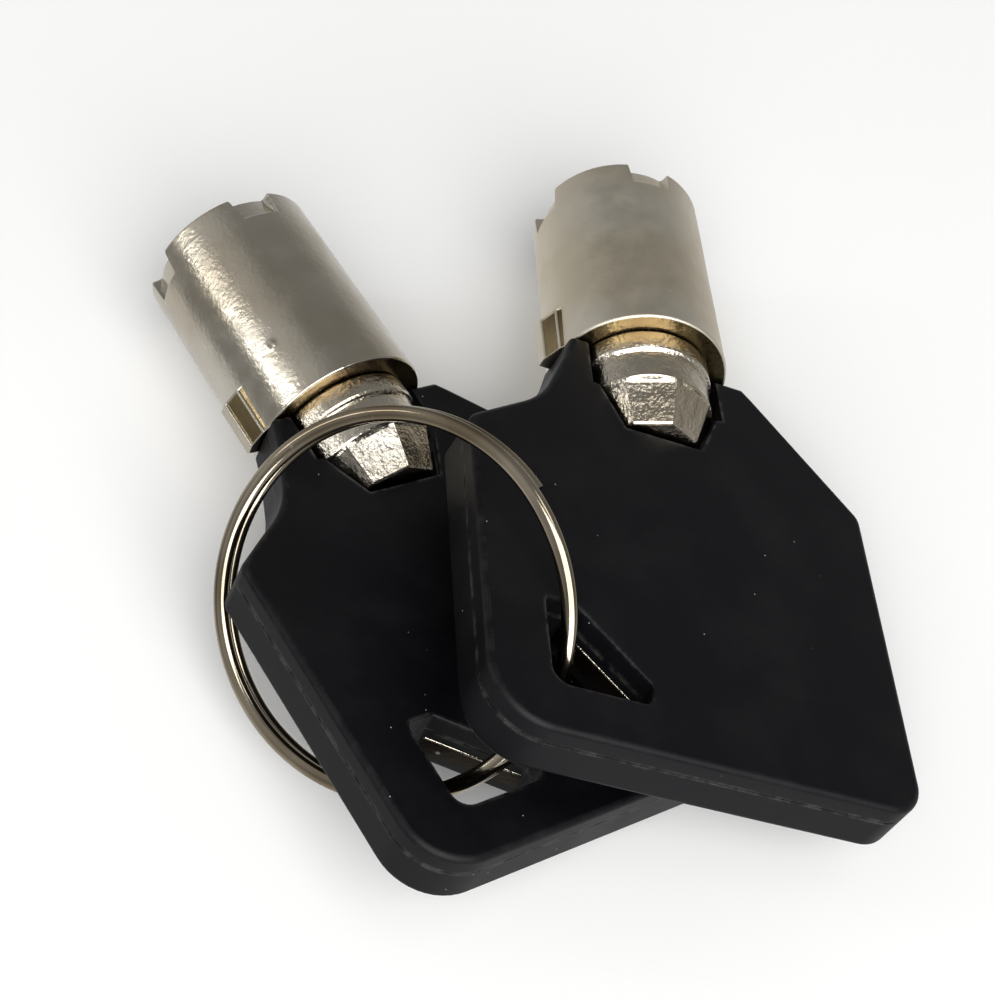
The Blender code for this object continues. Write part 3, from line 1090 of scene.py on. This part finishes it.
@dataclass
class SplitRing:
    """Oval nickel-plated wire wound twice, swept along its own path with geometry nodes."""

    outer_radius: float = 9.55
    wire_width: float = 0.80
    wire_height: float = 0.60
    coil_pitch: float = 0.74
    end_gap: float = 80.0
    steps_per_turn: int = 180
    centre: Vector = field(default_factory=lambda: Vector((-4.90, -12.93, 9.14)))
    axis: Vector = field(default_factory=lambda: Vector((-0.701, -0.183, 0.689)))
    end_direction: Vector = field(default_factory=lambda: Vector((7.2, -0.7, 6.9)))

    def matrix(self) -> Matrix:
        """Matrix from ring millimetres (Z on its axis, the coil's end on +X) to the table's frame."""
        axis = self.axis.normalized()
        across = (self.end_direction - axis * self.end_direction.dot(axis)).normalized()
        turn = Matrix((across, axis.cross(across), axis)).transposed().to_4x4()
        return Matrix.Scale(MM, 4) @ Matrix.Translation(SHIFT + self.centre) @ turn

    def path(self, name: str) -> bpy.types.Object:
        """Build the wire's centre line as a chain of edges.

        Args:
            name: The object's name.

        Returns:
            The chain, in ring millimetres.
        """
        radius = self.outer_radius - self.wire_width / 2.0
        total = 720.0 - self.end_gap
        steps = 2 * self.steps_per_turn
        builder = bmesh.new()
        before = None
        for step in range(steps + 1):
            degrees = total * step / steps
            climb = smooth_step((degrees - (360.0 - self.end_gap)) / self.end_gap)
            layer = self.coil_pitch * (climb - 0.5)
            angle = math.radians(degrees)
            vert = builder.verts.new((radius * math.cos(angle), radius * math.sin(angle), layer))
            if before is not None:
                builder.edges.new((before, vert))
            before = vert
        mesh = bpy.data.meshes.new(name)
        builder.to_mesh(mesh)
        builder.free()
        return add_object(name, mesh)

    def sweep_tree(self, metal: bpy.types.Material) -> tuple[bpy.types.NodeTree, dict[str, str]]:
        """Build the node tree that sweeps an oval wire along the path.

        Args:
            metal: Material that the wire gets.

        Returns:
            The tree, and each input's name to its socket identifier.
        """
        tree = bpy.data.node_groups.new("oval_wire_sweep", "GeometryNodeTree")
        tree.interface.new_socket("Path", in_out="INPUT", socket_type="NodeSocketGeometry")
        names = {}
        for label in ("Wire Width", "Wire Height"):
            socket = tree.interface.new_socket(label, in_out="INPUT", socket_type="NodeSocketFloat")
            names[label] = socket.identifier
        tree.interface.new_socket("Wire", in_out="OUTPUT", socket_type="NodeSocketGeometry")
        entry = add_node(tree, "NodeGroupInput")
        curve = add_node(tree, "GeometryNodeMeshToCurve", links={"Mesh": entry.outputs["Path"]})
        upright = add_node(tree, "GeometryNodeSetCurveNormal", links={"Curve": curve.outputs["Curve"]},
                           mode="Z_UP")
        section = add_node(tree, "GeometryNodeCurvePrimitiveCircle", {"Resolution": 28, "Radius": 0.5})
        size = add_node(tree, "ShaderNodeCombineXYZ", {"Z": 1.0},
                        {"X": entry.outputs["Wire Width"], "Y": entry.outputs["Wire Height"]})
        oval = add_node(tree, "GeometryNodeTransform",
                        links={"Geometry": section.outputs["Curve"], "Scale": size.outputs["Vector"]})
        swept = add_node(tree, "GeometryNodeCurveToMesh", {"Fill Caps": True},
                         {"Curve": upright.outputs["Curve"], "Profile Curve": oval.outputs["Geometry"]})
        real = add_node(tree, "GeometryNodeRealizeInstances", links={"Geometry": swept.outputs["Mesh"]})
        dressed = add_node(tree, "GeometryNodeSetMaterial", {"Material": metal},
                           {"Geometry": real.outputs["Geometry"]})
        add_node(tree, "NodeGroupOutput", links={"Wire": dressed.outputs["Geometry"]})
        return tree, names

    def build(self, metal: bpy.types.Material) -> None:
        """Build, dress and place the ring.

        Args:
            metal: Finish of the wire.
        """
        ring = self.path("split_ring_wire")
        tree, names = self.sweep_tree(metal)
        sweep = ring.modifiers.new("wire", "NODES")
        sweep.node_group = tree
        for label, value in (("Wire Width", self.wire_width), ("Wire Height", self.wire_height)):
            sweep[names[label]] = value
        freeze(ring)
        builder = bmesh.new()
        builder.from_mesh(ring.data)
        bmesh.ops.remove_doubles(builder, verts=builder.verts, dist=1e-4)
        bmesh.ops.recalc_face_normals(builder, faces=builder.faces)
        builder.to_mesh(ring.data)
        builder.free()
        settle(ring, self.matrix(), (metal,), "ring", "split_ring")


# --- The set ---


@dataclass
class SoftBox:
    """A rectangular studio light, with its size in metres and its power in watts."""

    name: str
    place: tuple[float, float, float]
    size: tuple[float, float]
    power: float

    def build(self, aim: Vector) -> None:
        """Add the light.

        Args:
            aim: The point that it is turned to.
        """
        lamp = bpy.data.lights.new(self.name, "AREA")
        lamp.shape = "RECTANGLE"
        lamp.size, lamp.size_y = self.size
        lamp.energy = self.power
        made = add_object(self.name, lamp)
        made.location = self.place
        made.rotation_mode = "QUATERNION"
        made.rotation_quaternion = (aim - Vector(self.place)).to_track_quat("-Z", "Y")


@dataclass
class SkyPatch:
    """A soft round patch of the sky that is brighter or darker than the rest.

    Its reach is the cosine of the angle to its middle where it starts and where it is full.
    """

    direction: tuple[float, float, float]
    reach: tuple[float, float]
    strength: float
    operation: str

    def change(self, tree: bpy.types.NodeTree, direction: bpy.types.NodeSocket,
               light: bpy.types.NodeSocket) -> bpy.types.NodeSocket:
        """Add the patch to the sky.

        Args:
            tree: The sky's node tree.
            direction: Direction that the sky is seen in.
            light: Strength of the sky without the patch.

        Returns:
            Strength of the sky with the patch.
        """
        toward = add_node(tree, "ShaderNodeVectorMath", {1: Vector(self.direction).normalized()},
                          {0: direction}, operation="DOT_PRODUCT")
        amount = add_node(tree, "ShaderNodeMapRange", {"From Min": self.reach[0], "From Max": self.reach[1],
                                                       "To Min": 0.0, "To Max": self.strength},
                          {"Value": toward.outputs["Value"]}, interpolation_type="SMOOTHSTEP")
        changed = add_node(tree, "ShaderNodeMath", links={0: light, 1: amount.outputs["Result"]},
                           operation=self.operation)
        return changed.outputs["Value"]


@dataclass
class Studio:
    """Pale floor, soft boxes, sky and camera."""

    camera_place: Vector = field(default_factory=lambda: Vector((-40.492, -54.429, 98.697)))
    camera_forward: Vector = field(default_factory=lambda: Vector((0.3983, 0.40701, -0.82201)))
    camera_up: Vector = field(default_factory=lambda: Vector((0.36674, 0.75075, 0.54943)))
    lens: float = 78.67
    aim: Vector = field(default_factory=lambda: Vector((0.0, 0.0, 0.008)))
    lights: tuple[SoftBox, ...] = (
        SoftBox("main_light", (-0.20, -0.46, 0.46), (0.80, 0.80), 7.4),
        SoftBox("left_window", (-0.36, 0.255, 0.25), (0.045, 0.22), 0.12),
        SoftBox("top_window", (0.05, -0.10, 0.60), (0.16, 0.16), 0.16),
    )
    sky_hex: str = "FFFFFF"
    sky_strength: float = 0.20
    ground_strength: float = 0.64
    horizon: tuple[float, float] = (-0.72, 0.42)
    patches: tuple[SkyPatch, ...] = (
        SkyPatch((-0.62, 0.52, 0.50), (0.62, 1.0), 0.24, "ADD"),
        SkyPatch((-0.856, 0.514, -0.06), (0.93, 0.985), 0.26, "SUBTRACT"),
    )

    def build(self) -> None:
        """Build the whole set."""
        self.build_floor()
        self.build_sky()
        for light in self.lights:
            light.build(self.aim)
        self.build_camera()

    def build_floor(self) -> None:
        """Add the floor."""
        builder = bmesh.new()
        bmesh.ops.create_grid(builder, x_segments=4, y_segments=4, size=1.5)
        mesh = bpy.data.meshes.new("floor")
        builder.to_mesh(mesh)
        builder.free()
        floor = add_object("floor", mesh)
        floor.data.materials.append(PaperFloor().make())
        floor.visible_glossy = False

    def build_sky(self) -> None:
        """Light the scene from all round: pale below, darker above, with a glow and a shade to one side."""
        world = bpy.data.worlds.new("studio_sky")
        world.use_nodes = True
        tree = world.node_tree
        tree.nodes.clear()
        direction = add_node(tree, "ShaderNodeTexCoord").outputs["Generated"]
        height = add_node(tree, "ShaderNodeSeparateXYZ", links={"Vector": direction})
        level = add_node(tree, "ShaderNodeMapRange", {"From Min": self.horizon[0],
                                                      "From Max": self.horizon[1],
                                                      "To Min": self.ground_strength,
                                                      "To Max": self.sky_strength},
                         {"Value": height.outputs["Z"]}, interpolation_type="SMOOTHSTEP")
        light = level.outputs["Result"]
        for patch in self.patches:
            light = patch.change(tree, direction, light)
        background = add_node(tree, "ShaderNodeBackground", {"Color": linear(self.sky_hex)},
                              {"Strength": light})
        add_node(tree, "ShaderNodeOutputWorld", links={"Surface": background.outputs["Background"]})
        bpy.context.scene.world = world
        bpy.context.scene.view_settings.view_transform = "Standard"

    def build_camera(self) -> None:
        """Add the camera."""
        forward = self.camera_forward.normalized()
        right = forward.cross(self.camera_up).normalized()
        up = right.cross(forward)
        data = bpy.data.cameras.new("camera")
        data.lens = self.lens
        data.sensor_width = 36.0
        data.clip_start = 0.005
        data.clip_end = 10.0
        made = add_object("camera", data)
        turn = Matrix((right, up, -forward)).transposed().to_4x4()
        made.matrix_world = Matrix.Translation((SHIFT + self.camera_place) * MM) @ turn
        bpy.context.scene.camera = made


def main() -> None:
    """Build both keys, the ring and the set."""
    logging.basicConfig(level=logging.INFO, format="%(name)s: %(message)s")
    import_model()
    barrel_metal = NickelPlate("nickel_plated_barrel").make()
    # The right barrel gets a rougher, duller copy of the plate with a lighter base colour. The rougher plate
    # is its own, and the lighter colour is painted light that brightens this barrel.
    dull_lightened_metal = NickelPlate("nickel_plated_barrel_dulled_painted_lighter", light_hex="F1E9D8", dark_hex="E4D9C2",
                             roughness_low=0.36, roughness_high=0.48, grain_height_mm=0.010).make()
    recess_metal = NickelPlate("tarnished_recess", light_hex="A8966F", dark_hex="75634A",
                               grain_height_mm=0.020).make()
    insert_metal = NickelPlate("nickel_plated_casting", light_hex="E6DFD1", dark_hex="CFC3AD",
                               roughness_low=0.10, roughness_high=0.24, ripple_height_mm=0.010, grain_mm=0.20,
                               grain_height_mm=0.040).make()
    # Dull brown zinc for the blade, darkened further as a painted dark reflection of the black bow around it.
    zinc_blade_dark_reflection_metal = NickelPlate("zinc_blade_painted_dark_reflection", light_hex="332C25", dark_hex="1E1914", roughness_low=0.30,
                              roughness_high=0.45, grain_height_mm=0.020).make()
    # The wire gets a weaker share of the painted shade in its crevices.
    ring_metal = NickelPlate("nickel_plated_spring_wire", light_hex="BDB29E", dark_hex="8E8069",
                             roughness_low=0.08, roughness_high=0.16, ripple_height_mm=0.002,
                             grain_height_mm=0.0006, pit_height_mm=0.002, grime_and_shade_share=0.6).make()
    plastic = MouldedPlastic("black_moulded_abs").make()
    left = TubularKey(Side.LEFT, Placement(Vector((0.0, 0.0, 4.85)), (0.0, 0.0, 15.4)), 0)
    right = TubularKey(Side.RIGHT, Placement(Vector((15.18, -5.50, 6.40)), (-29.35, -8.05, 18.1)), 1)
    left.build((barrel_metal, recess_metal), (insert_metal, zinc_blade_dark_reflection_metal), plastic)
    # The right key's barrel wears the copy of the plate lightened with painted light.
    right.build((dull_lightened_metal, recess_metal), (insert_metal, zinc_blade_dark_reflection_metal), plastic)
    SplitRing().build(ring_metal)
    Studio().build()


if __name__ == "__main__":
    main()
